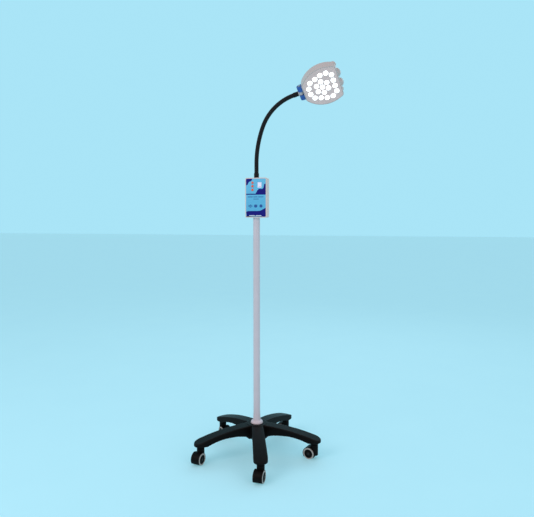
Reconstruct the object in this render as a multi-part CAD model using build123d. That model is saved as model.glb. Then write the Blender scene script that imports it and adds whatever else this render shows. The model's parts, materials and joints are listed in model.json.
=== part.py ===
from build123d import *
import math
import os

# Mobile surgical light on a five-armed caster base.
# Frame: origin on the floor under the column's axis, +Z up, +X towards the head's reach,
# the control box's face looks along -Y.  All sizes are in millimetres.

os.makedirs("parts", exist_ok=True)

# ------------------------------------------------------------------ driving dimensions
# Star base
ARM_COUNT = 5
ARM_PITCH = 360.0 / ARM_COUNT
TIP_RADIUS = 291.0
TIP_HALF_WIDTH = 30.0
ROOT_HALF_WIDTH = 24.0
ARM_END = TIP_RADIUS + 6.0
ARM_END_TOP = 84.9
LIP_BOTTOM = 75.0
LIP_START = 238.0
MID_RADIUS = 150.0
MID_TOP = 125.0
MID_BOTTOM = 97.0
ROOT_RADIUS = 60.0
ROOT_BOTTOM = 90.0
ARM_WALL = 4.0
RIB = 2.5
RIB_RADII = (95.0, 140.0, 185.0, 225.0)
BOSS_R = 16.0
BOSS_BOTTOM = 68.0
HUB_RADIUS = 46.0
HUB_TOP = 140.0
HUB_BOTTOM = 78.0
HUB_FLOOR = 92.0

# Twin-wheel casters
STEM_OFFSET = 262.0
STEM_R = 5.5
STEM_LOWER_R = 5.0
STEM_TOP = 89.0
STEM_END = 45.5
WHEEL_R = 25.0
WHEEL_CORE_R = 19.5
WHEEL_IN = 4.5
WHEEL_OUT = 21.5
AXLE_R = 3.0
TRAIL = 20.0
HOOD_OUT = 27.6
HOOD_IN = 26.0
HOOD_HALF = 20.5
HOOD_CUT = 8.0
NECK_R = 16.5
NECK_TOP = 65.5
NECK_BOTTOM = 18.0
WEB_HALF = 3.7
RUNNING_GAP = 0.08

# Swivel heading of each caster's trail, by arm, degrees from +X
TRAIL_HEADINGS = (164.7, 170.0, 316.7, 257.7, 266.7)

# Column
COLUMN_R = 15.0
COLUMN_BORE_R = 13.5
COLUMN_TOP = 1200.0
COLUMN_GAP = 0.05
FLANGE_R = 27.0
FLANGE_EDGE = 143.0
FLANGE_TOP = 153.0
SLEEVE_R = 17.0
SLEEVE_TOP = 180.0

# Control box
BOX_WIDTH = 96.0
BOX_HEIGHT = 172.0
BOX_BOTTOM = 1061.0
BOX_SHIFT = 4.0
BOX_FRONT = -27.0
BOX_SPLIT = -15.0
BOX_BACK = 21.0
BOX_WALL = 3.0
BOX_CORNER = 6.0
BOX_TOP = BOX_BOTTOM + BOX_HEIGHT
BOX_MID = BOX_BOTTOM + BOX_HEIGHT / 2
LABEL_THICKNESS = 0.4
LABEL_INSET = 4.0
POST_X = 41.0
POST_Z = 78.5
POST_R = 4.5
SWITCH_X = BOX_SHIFT + 17.0
SWITCH_Z = BOX_BOTTOM + 140.5
SWITCH_PIVOT_Y = -24.0
ROCKER_REST = 8.0
LAMP_X = BOX_SHIFT - 15.0
LAMP_Z = tuple(BOX_BOTTOM + rise for rise in (120.0, 135.1, 150.2))
BOARD_FRONT = -21.6
CLAMP_R = 17.8
GLAND_X = -27.0
GLAND_Z = BOX_BOTTOM + 24.0
GLAND_BORE_R = 3.5

# Gooseneck: one straight run and two arcs in the XZ plane, as (length, radius) pairs
COLLAR_TOP = BOX_TOP + 22.0
NECK_RUNS = ((39.2, math.inf), (162.0, 450.0), (190.1, 207.9))
NECK_LENGTH = sum(run[0] for run in NECK_RUNS)
PIVOTS = 8
PIVOT_STEP = NECK_LENGTH / PIVOTS
HOSE_R = 8.8
COLLAR_R = 10.4
SPIGOT_R = 8.0
BALL_R = 6.0
CUP_R = 6.4
BALL_NECK_R = 4.0
SHOULDER = 6.0
WIRE_R = 2.0
BALL_BORE_R = 2.6
FERRULE_R = 10.3
FERRULE_LENGTH = 22.0
HINGE_REACH = 36.0

# Head, in its own frame: origin on the hinge pin, +X away from the hinge, -Z the way it shines
HEAD_ROLL = 46.1
FACE_Z = -19.0
HEAD_BACK = 31.0
NEAR_X = 11.5
WIDE_X = 103.0
FAR_X = 164.0
NEAR_HALF = 34.0
WIDE_HALF = 82.0
FAR_HALF = 65.0
HEAD_CORNER = 12.0
SHELL_GROW = 2.0
SHELL_WALL = 3.0
PLATE_THICKNESS = 3.0
LENS_CENTRE_X = 91.0
LENS_PITCH = 25.7
LENS_R = 10.5
RIB_TIP_X = 179.5
HINGE_HALF = 31.0
KNUCKLE_HALF = 8.0
EAR_R = 12.5
KNUCKLE_R = 8.5
PIN_R = 3.0
HEAD_BOSSES = ((22.0, 34.0), (70.0, 66.0), (152.0, 58.0))


# ------------------------------------------------------------------ helpers
def save(name, shape):
    """Write one node's solids to its STEP file."""
    solids = shape.solids()
    export_step(Compound(children=list(solids)) if len(solids) > 1 else solids[0], f"parts/{name}.step")


def upright(radius, low, high, x=0.0, y=0.0):
    """A cylinder along Z between two heights."""
    return Pos(x, y, (low + high) / 2) * Cylinder(radius, high - low)


def along_y(radius, low, high, x=0.0, z=0.0):
    """A cylinder along Y between two places."""
    return Pos(x, (low + high) / 2, z) * Rot(90, 0, 0) * Cylinder(radius, high - low)


def along_x(radius, low, high, y=0.0, z=0.0):
    """A cylinder along X between two places."""
    return Pos((low + high) / 2, y, z) * Rot(0, 90, 0) * Cylinder(radius, high - low)


def block(low, high):
    """A box from its lowest to its highest corner."""
    size = [b - a for a, b in zip(low, high)]
    middle = [(a + b) / 2 for a, b in zip(low, high)]
    return Pos(*middle) * Box(*size)


def spun(points):
    """A solid of revolution about Z from (radius, height) points."""
    outline = Polyline(*[(r, 0, z) for r, z in points], close=True)
    return revolve(make_face(outline), Axis.Z)


# ------------------------------------------------------------------ star base
def arm_side(drop, floor):
    """Side view of an arm: its arched top lowered by drop, closed at floor or along its arched underside."""
    root = (0, 0, HUB_TOP - drop)
    tip = (ARM_END, 0, ARM_END_TOP - drop)
    top = ThreePointArc(root, (MID_RADIUS, 0, MID_TOP - drop), tip)
    if floor is not None:
        return make_face([top, Polyline(tip, (ARM_END, 0, floor), (0, 0, floor), root)])
    lip = (LIP_START, 0, LIP_BOTTOM)
    heel = (ROOT_RADIUS, 0, ROOT_BOTTOM)
    end = Polyline(tip, (ARM_END, 0, LIP_BOTTOM), lip)
    arch = ThreePointArc(lip, (MID_RADIUS, 0, MID_BOTTOM), heel)
    foot = Polyline(heel, (HUB_RADIUS, 0, HUB_BOTTOM), (0, 0, HUB_BOTTOM), root)
    return make_face([top, end, arch, foot])


def arm_plan(inset, start):
    """Plan of an arm, its sides and round end moved in by inset, beginning at radius start."""
    centre = TIP_RADIUS - TIP_HALF_WIDTH
    tapered = make_face(
        Polyline(
            (start, -ROOT_HALF_WIDTH + inset),
            (centre, -TIP_HALF_WIDTH + inset),
            (centre, TIP_HALF_WIDTH - inset),
            (start, ROOT_HALF_WIDTH - inset),
            close=True,
        )
    )
    return tapered + Pos(centre, 0) * Circle(TIP_HALF_WIDTH - inset)


def star_arm():
    """One hollow arm with its ribs and caster socket, along +X."""
    low, high = 40.0, 160.0
    outer = extrude(Pos(0, 0, low) * arm_plan(0, 0), high - low)
    outer &= extrude(arm_side(0, None), 2 * TIP_HALF_WIDTH, both=True)
    inner = extrude(Pos(0, 0, low) * arm_plan(ARM_WALL, HUB_RADIUS + 4), high - low)
    inner &= extrude(arm_side(ARM_WALL, low), 2 * TIP_HALF_WIDTH, both=True)
    stiff = block((HUB_RADIUS, -RIB / 2, low), (STEM_OFFSET, RIB / 2, high))
    for radius in RIB_RADII:
        stiff += block((radius, -TIP_HALF_WIDTH, low), (radius + RIB, TIP_HALF_WIDTH, high))
    stiff += upright(BOSS_R, low, high, x=STEM_OFFSET)
    arm = outer - inner + (outer & stiff)
    arm += upright(BOSS_R, BOSS_BOTTOM, LIP_BOTTOM + ARM_WALL, x=STEM_OFFSET)
    return arm - upright(STEM_R, BOSS_BOTTOM - 5, STEM_TOP, x=STEM_OFFSET)


def star_base():
    """Hub and five arms as one moulding, with the column's socket and the foot bolt's hole."""
    star = upright(HUB_RADIUS, HUB_BOTTOM, HUB_TOP)
    arm = star_arm()
    for k in range(ARM_COUNT):
        star += Rot(0, 0, ARM_PITCH * k) * arm
    star -= upright(COLUMN_R + COLUMN_GAP, HUB_FLOOR, HUB_TOP + 5)
    star -= upright(5.5, HUB_BOTTOM - 5, HUB_FLOOR)
    star -= upright(13.0, HUB_BOTTOM - 5, HUB_BOTTOM + 8)
    return star


def hub_cover():
    """Domed flange that covers the socket's mouth, with a tapered sleeve up the column."""
    bore = COLUMN_R + COLUMN_GAP
    points = [(bore, HUB_TOP), (FLANGE_R, HUB_TOP)]
    steps = 5
    for k in range(steps + 1):
        turn = math.radians(90 * k / steps)
        radius = SLEEVE_R + (FLANGE_R - SLEEVE_R) * math.cos(turn)
        points.append((radius, FLANGE_EDGE + (FLANGE_TOP - FLANGE_EDGE) * math.sin(turn)))
    return spun(points + [(bore + 0.6, SLEEVE_TOP), (bore, SLEEVE_TOP)])


# ------------------------------------------------------------------ casters
def caster_place(k):
    """Where caster k's stem meets the floor, turned to its trail's heading."""
    angle = math.radians(ARM_PITCH * k)
    x, y = STEM_OFFSET * math.cos(angle), STEM_OFFSET * math.sin(angle)
    return Pos(x, y, 0) * Rot(0, 0, TRAIL_HEADINGS[k])


def caster_stem():
    """Stepped steel stem pressed into an arm's end."""
    collar = BOSS_BOTTOM - 2
    stem = upright(STEM_R, BOSS_BOTTOM, STEM_TOP)
    stem += upright(8.0, collar, BOSS_BOTTOM)
    return stem + upright(STEM_LOWER_R, STEM_END, collar)


def caster_housing():
    """Hood, post and web of a twin-wheel caster; the trail runs along +X."""
    reach = HOOD_HALF
    hood = along_y(HOOD_OUT, -reach, reach, x=TRAIL, z=WHEEL_R)
    hood -= along_y(HOOD_IN, -reach, reach, x=TRAIL, z=WHEEL_R)
    hood -= block((-40, -40, -40), (80, 40, HOOD_CUT))
    post = upright(NECK_R, NECK_BOTTOM, NECK_TOP)
    post -= along_y(HOOD_IN, -reach, -WEB_HALF, x=TRAIL, z=WHEEL_R)
    post -= along_y(HOOD_IN, WEB_HALF, reach, x=TRAIL, z=WHEEL_R)
    web = along_y(HOOD_IN + 0.5, -WEB_HALF, WEB_HALF, x=TRAIL, z=WHEEL_R)
    web -= block((-40, -40, -40), (80, 40, HOOD_CUT))
    housing = hood + post + web
    housing -= upright(STEM_LOWER_R + RUNNING_GAP, STEM_END - 0.5, NECK_TOP + 5)
    return housing - along_y(AXLE_R + RUNNING_GAP, -reach, reach, x=TRAIL, z=WHEEL_R)


def wheel_pair(outer, inner):
    """Two discs or rings on the caster's axle line."""
    pair = []
    for low, high in ((WHEEL_IN, WHEEL_OUT), (-WHEEL_OUT, -WHEEL_IN)):
        disc = along_y(outer, low, high, x=TRAIL, z=WHEEL_R)
        pair.append(disc - along_y(inner, low, high, x=TRAIL, z=WHEEL_R))
    return pair


def make_casters():
    """Write the five casters and their stems."""
    stems = []
    for k in range(ARM_COUNT):
        place = caster_place(k)
        stems.append(place * caster_stem())
        save(f"caster_housing_{k + 1}", place * caster_housing())
        wheels = [place * w for w in wheel_pair(WHEEL_CORE_R, AXLE_R)]
        tyres = [place * t for t in wheel_pair(WHEEL_R, WHEEL_CORE_R)]
        axle = along_y(AXLE_R, -WHEEL_OUT + 2, WHEEL_OUT - 2, x=TRAIL, z=WHEEL_R)
        save(f"caster_wheels_{k + 1}", Compound(children=wheels))
        save(f"caster_tyres_{k + 1}", Compound(children=tyres))
        save(f"caster_axle_{k + 1}", place * axle)
    save("caster_stems", Compound(children=stems))


# ------------------------------------------------------------------ column
def column_tube():
    """Steel tube with its lower end closed by a threaded plug."""
    tube = upright(COLUMN_R, HUB_FLOOR, COLUMN_TOP) - upright(COLUMN_BORE_R, HUB_FLOOR + 16, COLUMN_TOP)
    return tube - upright(5.0, HUB_FLOOR, HUB_FLOOR + 16)


def foot_bolt():
    """Hexagon bolt that draws the column into the hub from below."""
    head = extrude(Pos(0, 0, HUB_BOTTOM - 0.6) * RegularPolygon(9.8, 6), 6.4)
    return head + upright(4.95, HUB_BOTTOM + 5.8, HUB_FLOOR + 13)


def foot_washer():
    """Plain washer under the foot bolt's head."""
    return upright(12.0, HUB_BOTTOM + 5.8, HUB_BOTTOM + 8) - upright(5.3, HUB_BOTTOM, HUB_BOTTOM + 12)


def column_top_plug():
    """Flanged plug that takes the gooseneck's spigot."""
    plug = upright(COLUMN_BORE_R - COLUMN_GAP, COLUMN_TOP - 20, COLUMN_TOP)
    plug += upright(COLUMN_R, COLUMN_TOP, COLUMN_TOP + 4)
    return plug - upright(SPIGOT_R + COLUMN_GAP, COLUMN_TOP - 25, COLUMN_TOP + 10)


# ------------------------------------------------------------------ control box
def box_slab(width, height, corner, front, back):
    """Rounded rectangle seen from the front, between two depths."""
    plane = Plane(origin=(BOX_SHIFT, front, BOX_MID), x_dir=(1, 0, 0), z_dir=(0, 1, 0))
    return extrude(plane * RectangleRounded(width, height, corner), back - front)


def box_posts(radius, front, back):
    """Four corner posts or holes."""
    posts = []
    for side in (-1, 1):
        for rise in (-1, 1):
            posts.append(along_y(radius, front, back, x=BOX_SHIFT + side * POST_X, z=BOX_MID + rise * POST_Z))
    return posts


def back_shell():
    """Rear shell of the box, open at the front, with its screw posts."""
    shell = box_slab(BOX_WIDTH, BOX_HEIGHT, BOX_CORNER, BOX_SPLIT, BOX_BACK)
    shell = fillet(shell.faces().sort_by(Axis.Y)[-1].edges(), 4.0)
    width, height = BOX_WIDTH - 2 * BOX_WALL, BOX_HEIGHT - 2 * BOX_WALL
    shell -= box_slab(width, height, 4.0, BOX_SPLIT, BOX_BACK - BOX_WALL)
    for post in box_posts(POST_R, BOX_SPLIT, BOX_BACK - BOX_WALL):
        shell += post
    for hole in box_posts(1.7, BOX_SPLIT, BOX_BACK):
        shell -= hole
    for recess in box_posts(3.2, BOX_BACK - 2.5, BOX_BACK + 2):
        shell -= recess
    shell -= upright(COLUMN_R + 0.3, BOX_BOTTOM - 5, BOX_BOTTOM + 10)
    shell -= upright(8.6, BOX_TOP - 10, BOX_TOP + 5)
    return shell - along_y(6.1, BOX_BACK - 6, BOX_BACK + 5, x=GLAND_X, z=GLAND_Z)


def front_panel():
    """Front cover with its switch cut-out and lamp holes."""
    panel = box_slab(BOX_WIDTH, BOX_HEIGHT, BOX_CORNER, BOX_FRONT, BOX_SPLIT)
    panel = fillet(panel.faces().sort_by(Axis.Y)[0].edges(), 2.0)
    panel -= box_slab(
        BOX_WIDTH - 2 * BOX_WALL, BOX_HEIGHT - 2 * BOX_WALL, 4.0, BOX_FRONT + BOX_WALL, BOX_SPLIT
    )
    for post in box_posts(POST_R, BOX_FRONT + BOX_WALL, BOX_SPLIT):
        panel += post
    for hole in box_posts(1.5, BOX_FRONT + BOX_WALL + 2, BOX_SPLIT):
        panel -= hole
    for z in (BOX_BOTTOM + 22, BOX_BOTTOM + 110):
        for x in (BOX_SHIFT - 30, BOX_SHIFT + 32):
            panel += along_y(2.5, BOX_FRONT + BOX_WALL, BOARD_FRONT, x=x, z=z)
    panel -= upright(COLUMN_R + 0.3, BOX_BOTTOM - 5, BOX_BOTTOM + 10)
    return panel - face_cutouts(BOX_FRONT - 5, BOX_FRONT + BOX_WALL + 1)


def face_cutouts(front, back):
    """The switch's and the lamps' holes through the face."""
    cut = block((SWITCH_X - 6.7, front, SWITCH_Z - 9.7), (SWITCH_X + 6.7, back, SWITCH_Z + 9.7))
    for z in LAMP_Z:
        cut += along_y(4.1, front, back, x=LAMP_X, z=z)
    return cut


def label_overlay():
    """Thin printed sheet stuck to the face."""
    width, height = BOX_WIDTH - 2 * LABEL_INSET, BOX_HEIGHT - 2 * LABEL_INSET
    sheet = box_slab(width, height, 3.5, BOX_FRONT - LABEL_THICKNESS, BOX_FRONT)
    return sheet - face_cutouts(BOX_FRONT - 5, BOX_FRONT + 1)


def indicator_lamps():
    """Three domed indicator lenses with shanks that reach the board."""
    lamps = []
    face = BOX_FRONT - LABEL_THICKNESS
    for z in LAMP_Z:
        lamp = along_y(5.4, face - 1.0, face, x=LAMP_X, z=z)
        lamp += Pos(LAMP_X, face + 5.2, z) * Sphere(7.4) & along_y(4.6, face - 3, face, x=LAMP_X, z=z)
        lamps.append(lamp + along_y(4.0, face, BOARD_FRONT, x=LAMP_X, z=z))
    return lamps


def switch_frame():
    """Bezel and open housing of the rocker switch, with bores for the rocker's trunnions."""
    face = BOX_FRONT - LABEL_THICKNESS
    frame = block((SWITCH_X - 8.5, face - 1.6, SWITCH_Z - 11.5), (SWITCH_X + 8.5, face, SWITCH_Z + 11.5))
    frame += block((SWITCH_X - 6.5, face, SWITCH_Z - 9.5), (SWITCH_X + 6.5, -13.0, SWITCH_Z + 9.5))
    frame -= block((SWITCH_X - 5.6, face - 3, SWITCH_Z - 8.7), (SWITCH_X + 5.6, -14.5, SWITCH_Z + 8.7))
    for x in (-3.0, 3.0):
        frame += block((SWITCH_X + x - 1, -13.0, SWITCH_Z - 2), (SWITCH_X + x + 1, -8.0, SWITCH_Z + 2))
    return frame - along_x(1.38, SWITCH_X - 6.5, SWITCH_X + 6.5, y=SWITCH_PIVOT_Y, z=SWITCH_Z)


def switch_rocker():
    """Rocker with a shallow V face, pressed at its upper end."""
    half = 7.6
    outline = Polyline(
        (0, -half, 6.2), (0, 0, 4.6), (0, half, 6.2), (0, half, 1.0), (0, 0, -4.0), (0, -half, 1.0),
        close=True,
    )
    body = extrude(make_face(outline), 5.3, both=True)
    body += along_x(1.3, -6.3, 6.3)
    upright_face = Rot(90, 0, 0) * body
    return Pos(SWITCH_X, SWITCH_PIVOT_Y, SWITCH_Z) * Rot(-ROCKER_REST, 0, 0) * upright_face


def battery_pack():
    """Back-up battery beside the column."""
    pack = block((20.0, -12.0, BOX_BOTTOM + 15), (44.5, 17.5, BOX_BOTTOM + 100))
    return fillet(pack.edges().filter_by(Axis.Z), 5.0)


def control_board():
    """L-shaped circuit board behind the face, with its larger components."""
    back = BOARD_FRONT + 1.6
    board = block((-34.0, BOARD_FRONT, BOX_BOTTOM + 16), (42.0, back, BOX_BOTTOM + 118))
    board += block((-34.0, BOARD_FRONT, BOX_BOTTOM + 118), (-4.0, back, BOX_BOTTOM + 152))
    for x, z, width, height in ((24, 24, 14, 18), (-28, 30, 10, 22), (-26, 72, 16, 16), (22, 82, 12, 26)):
        board += block((x, back, BOX_BOTTOM + z), (x + width, back + 4.0, BOX_BOTTOM + z + height))
    return board


def box_screws():
    """Four screws that hold the shell and the panel together."""
    shanks = box_posts(1.45, BOX_FRONT + BOX_WALL + 3, BOX_BACK - 2.5)
    heads = box_posts(2.9, BOX_BACK - 2.5, BOX_BACK - 0.4)
    return [shank + head for shank, head in zip(shanks, heads)]


def column_clamps():
    """Two saddle clamps that hold the box to the column."""
    clamps = []
    for z in (BOX_BOTTOM + 40, BOX_BOTTOM + 108):
        clamp = upright(CLAMP_R, z, z + 12) + block((-8, COLUMN_R, z), (8, BOX_BACK - BOX_WALL, z + 12))
        clamps.append(clamp - upright(COLUMN_R + COLUMN_GAP, z - 1, z + 13))
    return clamps


def cord_gland():
    """Screwed gland for the mains lead on the box's back."""
    body = along_y(6.0, BOX_BACK - 7, BOX_BACK, x=GLAND_X, z=GLAND_Z)
    body += along_y(9.0, BOX_BACK, BOX_BACK + 4, x=GLAND_X, z=GLAND_Z)
    body += along_y(7.5, BOX_BACK + 4, BOX_BACK + 14, x=GLAND_X, z=GLAND_Z)
    return body - along_y(GLAND_BORE_R, BOX_BACK - 10, BOX_BACK + 20, x=GLAND_X, z=GLAND_Z)


def gland_nut():
    """Nut inside the box that holds the gland."""
    nut = along_y(9.0, BOX_BACK - 6.5, BOX_BACK - BOX_WALL, x=GLAND_X, z=GLAND_Z)
    return nut - along_y(6.05, BOX_BACK - 10, BOX_BACK, x=GLAND_X, z=GLAND_Z)


# ------------------------------------------------------------------ gooseneck
def neck_at(s):
    """Point and heading of the gooseneck's centreline at length s from the collar's top."""
    x, z, heading = 0.0, COLLAR_TOP, math.pi / 2
    for length, radius in NECK_RUNS:
        step = min(s, length)
        if radius == math.inf:
            x += step * math.cos(heading)
            z += step * math.sin(heading)
        else:
            turned = heading - step / radius
            x += radius * (math.sin(heading) - math.sin(turned))
            z += radius * (math.cos(turned) - math.cos(heading))
            heading = turned
        s -= step
        if s <= 0:
            return (x, 0.0, z), heading
    return (x + s * math.cos(heading), 0.0, z + s * math.sin(heading)), heading


def neck_plane(s):
    """Plane across the gooseneck at length s, its normal along the centreline."""
    point, heading = neck_at(s)
    return Plane(origin=point, x_dir=(0, 1, 0), z_dir=(math.cos(heading), 0, math.sin(heading)))


def neck_path(start, end):
    """Centreline between two lengths, as one straight or round edge per run."""
    edges = []
    run_start = 0.0
    for length, radius in NECK_RUNS:
        low, high = max(start, run_start), min(end, run_start + length)
        if high - low > 0.01:
            ends = neck_at(low)[0], neck_at(high)[0]
            if radius == math.inf:
                edges.append(Line(*ends))
            else:
                edges.append(ThreePointArc(ends[0], neck_at((low + high) / 2)[0], ends[1]))
        run_start += length
    return edges


def hose(start, end, radius=HOSE_R):
    """Round bar along the centreline."""
    bar = None
    for edge in neck_path(start, end):
        mouth = Plane(origin=edge @ 0, z_dir=edge % 0)
        piece = sweep(mouth * Circle(radius), path=edge)
        bar = piece if bar is None else bar + piece
    return bar


def ball_end(s):
    """Necked ball that the next link turns on."""
    place = neck_plane(s).location
    return place * (Pos(0, 0, -SHOULDER / 2) * Cylinder(BALL_NECK_R, SHOULDER + 2)) + place * Sphere(BALL_R)


def link(s_low, s_high):
    """One link of the gooseneck: a cup over the ball below and a ball for the link above."""
    body = hose(s_low, s_high - SHOULDER) - neck_plane(s_low).location * Sphere(CUP_R)
    body += ball_end(s_high)
    body -= hose(s_low, s_high, WIRE_R)
    return body - neck_plane(s_high).location * Cylinder(BALL_BORE_R, 3 * BALL_R)


def gooseneck_collar():
    """Screwed collar on the box's top, with the first fixed stretch of the gooseneck."""
    first = PIVOT_STEP / 2
    collar = upright(SPIGOT_R, COLUMN_TOP - 20, BOX_TOP) + upright(COLLAR_R, BOX_TOP, COLLAR_TOP)
    collar += upright(HOSE_R, COLLAR_TOP, COLLAR_TOP + first - SHOULDER) + ball_end(first)
    return collar - upright(WIRE_R, COLUMN_TOP - 25, COLLAR_TOP + first + 2 * BALL_R)


def neck_end():
    """Last stretch of the gooseneck with its ferrule."""
    last = PIVOT_STEP * (PIVOTS - 0.5)
    body = hose(last, NECK_LENGTH) - neck_plane(last).location * Sphere(CUP_R)
    end = neck_plane(NECK_LENGTH).location
    body += end * Pos(0, 0, FERRULE_LENGTH / 2) * Cylinder(FERRULE_R, FERRULE_LENGTH)
    body -= hose(last, NECK_LENGTH, WIRE_R)
    return body - end * Pos(0, 0, FERRULE_LENGTH / 2) * Cylinder(WIRE_R, FERRULE_LENGTH)


# ------------------------------------------------------------------ head
def head_plane():
    """The head's own frame: origin on the pin, +X along the head, +Z out of its back."""
    origin, heading = neck_at(NECK_LENGTH + HINGE_REACH)
    reach = Vector(math.cos(heading), 0, math.sin(heading))
    down = Vector(math.sin(heading), 0, -math.cos(heading))
    roll = math.radians(HEAD_ROLL)
    shine = down * math.cos(roll) + Vector(0, -1, 0) * math.sin(roll)
    return Plane(origin=origin, x_dir=reach, z_dir=-shine)


def head_outline(grow):
    """Shield-shaped outline of the face, moved out by grow."""
    sides = []
    for side in (1, -1):
        widest = (WIDE_X, side * WIDE_HALF)
        sides.append(TangentArc(widest, (NEAR_X, side * NEAR_HALF), tangent=(-1, 0)))
        sides.append(TangentArc(widest, (FAR_X, side * FAR_HALF), tangent=(1, 0)))
    near = Line((NEAR_X, -NEAR_HALF), (NEAR_X, NEAR_HALF))
    far = Line((FAR_X, -FAR_HALF), (FAR_X, FAR_HALF))
    face = make_face([*sides, near, far])
    ends = [v for v in face.vertices() if abs(v.Y) < WIDE_HALF - 1]
    face = fillet(ends, HEAD_CORNER)
    return offset(face, grow) if grow else face


def lens_places():
    """Centres of the lenses: one in the middle, six around it and fourteen along the edge."""
    turns = [math.radians(60 * k) for k in range(6)]
    ring = [(LENS_PITCH * math.sin(turn), LENS_PITCH * math.cos(turn)) for turn in turns]
    x, y = 1.97 * LENS_PITCH, 0.5 * LENS_PITCH
    edge = [(x, y)]
    for heading in (90, 142, 182, 200, 200, 242):
        x += LENS_PITCH * math.cos(math.radians(heading))
        y += LENS_PITCH * math.sin(math.radians(heading))
        edge.append((x, y))
    half = [(LENS_CENTRE_X + x, y) for x, y in edge]
    inner = [(LENS_CENTRE_X + x, y) for x, y in [(0.0, 0.0)] + ring]
    return inner + half + [(x, -y) for x, y in half]


def head_slab(grow, low, high):
    """The head's outline between two depths."""
    return extrude(Pos(0, 0, low) * head_outline(grow), high - low)


def rear_shell():
    """Deep rear housing with four rounded ribs that end in a scalloped far edge."""
    shell = head_slab(SHELL_GROW, FACE_Z - 0.5, HEAD_BACK)
    shell = fillet(shell.faces().sort_by(Axis.Z)[-1].edges(), 12.0)
    for y, radius, tip in ((23.0, 21.0, RIB_TIP_X), (58.0, 14.0, RIB_TIP_X - 9)):
        for side in (-1, 1):
            z = HEAD_BACK + 3 - radius
            shell += along_x(radius, 60.0, tip - radius, y=side * y, z=z)
            shell += Pos(tip - radius, side * y, z) * Sphere(radius)
    shell -= head_slab(SHELL_GROW - SHELL_WALL, FACE_Z - 1, HEAD_BACK - SHELL_WALL)
    for x, y in HEAD_BOSSES:
        for side in (-1, 1):
            shell += upright(5.0, FACE_Z + 4.2, HEAD_BACK - SHELL_WALL, x=x, y=side * y)
            shell -= upright(2.1, FACE_Z, HEAD_BACK + 5, x=x, y=side * y)
            shell -= upright(3.8, HEAD_BACK - 6, HEAD_BACK + 5, x=x, y=side * y)
    return shell - along_x(3.0, NEAR_X - 5, NEAR_X + 5)


def front_plate():
    """Face plate with a round hole for each lens and threaded bosses for the screws."""
    plate = head_slab(SHELL_GROW - SHELL_WALL - 0.2, FACE_Z, FACE_Z + PLATE_THICKNESS)
    for x, y in lens_places():
        plate -= upright(LENS_R + 0.2, FACE_Z - 1, FACE_Z + PLATE_THICKNESS + 1, x=x, y=y)
    for x, y in HEAD_BOSSES:
        for side in (-1, 1):
            plate -= upright(1.9, FACE_Z + 1, FACE_Z + PLATE_THICKNESS, x=x, y=side * y)
    return plate


def lens(x, y):
    """Domed lens that stands a little proud of the face plate."""
    body = upright(LENS_R, FACE_Z - 0.4, FACE_Z + PLATE_THICKNESS, x=x, y=y)
    dome = Pos(x, y, FACE_Z + 26.4) * Sphere(28.5)
    return body + (dome & upright(LENS_R - 0.8, FACE_Z - 4, FACE_Z, x=x, y=y))


def reflector(x, y):
    """Conical reflector between the light source and its lens."""
    low, high = FACE_Z + PLATE_THICKNESS, FACE_Z + 13.0
    cup = spun([(9.4, low), (10.4, low), (5.6, high), (3.6, high)])
    return Pos(x, y, 0) * cup


def led_chip(x, y):
    """Square light source on the board."""
    return block((x - 2.5, y - 2.5, FACE_Z + 12.1), (x + 2.5, y + 2.5, FACE_Z + 13.0))


def boss_clearance():
    """Room for the screw bosses in the board and the heat sink."""
    room = []
    for x, y in HEAD_BOSSES:
        for side in (-1, 1):
            room.append(upright(6.5, FACE_Z, HEAD_BACK, x=x, y=side * y))
    return room


def led_board():
    """Metal-cored board that carries the light sources."""
    board = head_slab(-6.0, FACE_Z + 13.0, FACE_Z + 14.6)
    for room in boss_clearance():
        board -= room
    return board


def heat_sink():
    """Finned aluminium plate on the back of the board."""
    base = FACE_Z + 14.6
    sink = head_slab(-9.0, base, base + 4.0)
    inner = head_slab(-12.0, base + 4.0, base + 16.0)
    fins = []
    y = -66.0
    while y <= 66.0:
        fins.append(block((NEAR_X, y - 1, base + 4.0), (FAR_X, y + 1, base + 16.0)))
        y += 12.0
    for fin in fins:
        sink += fin & inner
    for room in boss_clearance():
        sink -= room
    return sink


def gasket():
    """Seal between the face plate and the rear shell."""
    outer = head_slab(SHELL_GROW - SHELL_WALL - 0.2, FACE_Z + PLATE_THICKNESS, FACE_Z + 4.2)
    return outer - head_slab(-4.4, FACE_Z, FACE_Z + 8)


def head_screws():
    """Six screws from the back into the face plate."""
    screws = []
    for x, y in HEAD_BOSSES:
        for side in (-1, 1):
            screw = upright(1.85, FACE_Z + 1.2, HEAD_BACK - 6, x=x, y=side * y)
            screws.append(screw + upright(3.4, HEAD_BACK - 6, HEAD_BACK - 3, x=x, y=side * y))
    return screws


def yoke():
    """Clevis on the head's near edge, with two thick ears."""
    wall = NEAR_X - SHELL_GROW
    ears = []
    for side in (-1, 1):
        low, high = sorted((side * (KNUCKLE_HALF + 0.4), side * HINGE_HALF))
        ear = along_y(EAR_R, low, high) + block((0, low, -EAR_R), (wall, high, EAR_R))
        ears.append(ear)
    body = ears[0] + ears[1]
    body += block((wall - 0.6, -HINGE_HALF, -EAR_R), (wall, HINGE_HALF, EAR_R))
    body -= block((wall, -HINGE_HALF - 1, -EAR_R), (wall + EAR_R, HINGE_HALF + 1, EAR_R))
    return body - along_y(PIN_R, -HINGE_HALF - 1, HINGE_HALF + 1)


def hinge_pin():
    """Headed pin pressed into the ears."""
    pin = along_y(PIN_R, -HINGE_HALF, HINGE_HALF)
    for low, high in ((HINGE_HALF, HINGE_HALF + 2), (-HINGE_HALF - 2, -HINGE_HALF)):
        pin += along_y(5.0, low, high)
    return pin


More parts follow.
